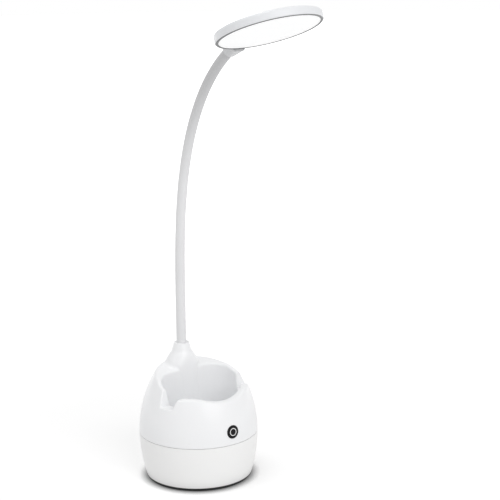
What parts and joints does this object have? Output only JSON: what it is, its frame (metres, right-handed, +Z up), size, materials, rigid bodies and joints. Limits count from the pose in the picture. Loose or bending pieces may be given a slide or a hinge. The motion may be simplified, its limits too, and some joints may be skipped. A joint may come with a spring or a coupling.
{
  "type": "desk lamp",
  "caption": "White desk lamp with a bendy neck on an egg shaped base that holds a pen cup, a telephone slot and a push button.",
  "frame": {"origin": "middle of the foot pad's underside, on the table", "axes": "+Z up, -Y towards the side that the head and the button are on, +X to the right seen from the front"},
  "size_m": [0.11, 0.2121, 0.4404],
  "materials": {
    "white": "satin moulded",
    "lower_white": "satin moulded",
    "black_rubber": "matt",
    "steel": "plain",
    "hose_steel": "oiled",
    "grey_plastic": "moulded",
    "cell_wrap": "shrink wrap",
    "board_green": "solder mask",
    "part_black": "moulded",
    "board_white": "solder mask",
    "chip_yellow": "phosphor",
    "port_steel": "plated",
    "red_wire": "insulation",
    "white_wire": "insulation",
    "button_black": "satin",
    "pale_ring": "inlay",
    "neck_white": "smooth",
    "head_white": "satin moulded",
    "bezel_grey": "satin",
    "lit_white": "opal"
  },
  "bodies": {
    "base": {"upper_shell": "white", "lower_shell": "lower_white", "foot_pad": "black_rubber", "shell_screws": "steel", "counterweight": "steel", "electronics_tray": "grey_plastic", "tray_screws": "steel", "battery_cell": "cell_wrap", "main_board": "board_green", "board_parts": "part_black", "board_screws": "steel", "charge_port": "port_steel", "battery_lead": "red_wire", "switch_lead": "white_wire", "switch_body": "part_black", "switch_board": "board_green", "neck_stud": "steel", "neck_washer": "steel", "neck_nut": "steel", "neck_grommet": "grey_plastic", "neck_core_1": "hose_steel", "neck_sleeve_1": "neck_white", "neck_lead_1": "white_wire"},
    "button": {"button_cap": "button_black", "button_ring": "pale_ring", "switch_plunger": "part_black"},
    "neck_link_2": {"neck_core_2": "hose_steel", "neck_sleeve_2": "neck_white", "neck_lead_2": "white_wire"},
    "neck_link_3": {"neck_core_3": "hose_steel", "neck_sleeve_3": "neck_white", "neck_lead_3": "white_wire"},
    "neck_link_4": {"neck_core_4": "hose_steel", "neck_sleeve_4": "neck_white", "neck_lead_4": "white_wire"},
    "neck_link_5": {"neck_core_5": "hose_steel", "neck_sleeve_5": "neck_white", "neck_lead_5": "white_wire"},
    "neck_link_6": {"neck_core_6": "hose_steel", "neck_sleeve_6": "neck_white", "neck_lead_6": "white_wire"},
    "neck_link_7": {"neck_core_7": "hose_steel", "neck_sleeve_7": "neck_white", "neck_lead_7": "white_wire"},
    "head": {"neck_core_8": "hose_steel", "neck_sleeve_8": "neck_white", "neck_lead_8": "white_wire", "head_stem": "head_white", "stem_screws": "steel", "head_housing": "head_white", "head_bezel": "bezel_grey", "diffuser": "lit_white", "led_board": "board_white", "led_chips": "chip_yellow", "head_screws": "steel", "head_lead": "white_wire"}
  },
  "joints": [
    {"name": "button_press", "type": "slide", "parent": "base", "child": "button", "axis": [0, 0.9938, -0.1111], "range_m": [0, 0.0006], "stiffness_N_per_m": 1500, "springref_m": -0.0004},
    {"name": "neck_nod_1", "type": "hinge", "parent": "base", "child": "neck_link_2", "pos_m": [0, 0.025, 0.143], "axis": [1, 0, 0], "range_deg": [-30, 30]},
    {"name": "neck_sideways_2", "type": "hinge", "parent": "neck_link_2", "child": "neck_link_3", "pos_m": [0, 0.02459, 0.186], "axis": [0, 0.9998, 0.0192], "range_deg": [-30, 30]},
    {"name": "neck_nod_3", "type": "hinge", "parent": "neck_link_3", "child": "neck_link_4", "pos_m": [0, 0.02241, 0.22893], "axis": [1, 0, 0], "range_deg": [-30, 30]},
    {"name": "neck_sideways_4", "type": "hinge", "parent": "neck_link_4", "child": "neck_link_5", "pos_m": [0, 0.01652, 0.27151], "axis": [0, 0.9815, 0.1915], "range_deg": [-30, 30]},
    {"name": "neck_nod_5", "type": "hinge", "parent": "neck_link_5", "child": "neck_link_6", "pos_m": [0, 0.00495, 0.31288], "axis": [1, 0, 0], "range_deg": [-30, 30]},
    {"name": "neck_sideways_6", "type": "hinge", "parent": "neck_link_6", "child": "neck_link_7", "pos_m": [0, -0.01403, 0.35137], "axis": [0, 0.8455, 0.534], "range_deg": [-30, 30]},
    {"name": "neck_nod_7", "type": "hinge", "parent": "neck_link_7", "child": "head", "pos_m": [0, -0.04147, 0.38431], "axis": [1, 0, 0], "range_deg": [-30, 30]}
  ]
}
